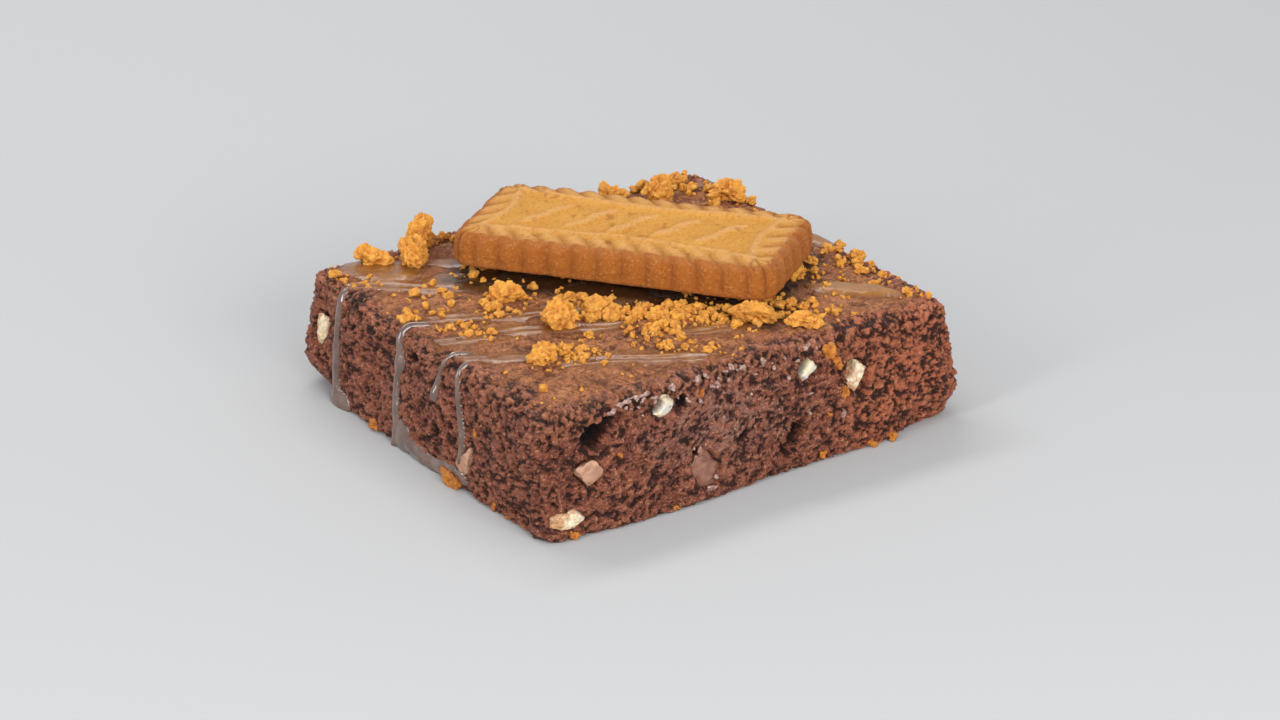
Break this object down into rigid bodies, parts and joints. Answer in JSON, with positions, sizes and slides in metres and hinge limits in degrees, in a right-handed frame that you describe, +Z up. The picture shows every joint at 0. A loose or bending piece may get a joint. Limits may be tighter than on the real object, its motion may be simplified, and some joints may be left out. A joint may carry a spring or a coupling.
{
  "type": "chocolate brownie",
  "caption": "Square-cut chocolate brownie with a thin crust, chocolate chunks in its cut sides, a caramel drizzle, and a caramelised biscuit and crumbs on top.",
  "frame": {"origin": "middle of the flat base, at the centre of the part's bounding box in plan", "axes": "+X along the longer cut face, +Y along the shorter cut face away from the worn front face, +Z up through the biscuit"},
  "size_m": [0.0954, 0.09, 0.0322],
  "materials": {
    "brownie": "matte moist cake crumb",
    "biscuit": "dry baked biscuit",
    "biscuit_crumb": "dry broken biscuit",
    "white_chocolate": "satin",
    "milk_chocolate": "satin"
  },
  "bodies": {
    "root": {"brownie": "brownie", "biscuit": "biscuit", "chunk_white_near": "white_chocolate", "chunk_white_melted": "white_chocolate", "chunk_white_upper": "white_chocolate", "chunk_white_right": "white_chocolate", "chunk_white_left": "white_chocolate", "chunk_white_back": "white_chocolate", "chunk_white_end": "white_chocolate", "chunk_milk_near": "milk_chocolate", "chunk_milk_foot": "milk_chocolate", "chunk_milk_left": "milk_chocolate", "chunk_milk_back": "milk_chocolate", "chunk_milk_end": "milk_chocolate", "crumb_lump_01": "biscuit_crumb", "crumb_lump_02": "biscuit_crumb", "crumb_lump_03": "biscuit_crumb", "crumb_lump_04": "biscuit_crumb", "crumb_lump_05": "biscuit_crumb", "crumb_lump_06": "biscuit_crumb", "crumb_lump_07": "biscuit_crumb", "crumb_lump_08": "biscuit_crumb", "crumb_lump_09": "biscuit_crumb", "crumb_lump_10": "biscuit_crumb", "crumb_lump_11": "biscuit_crumb", "crumb_rest_1": "biscuit_crumb", "crumb_rest_2": "biscuit_crumb", "crumb_rest_3": "biscuit_crumb"}
  },
  "joints": []
}
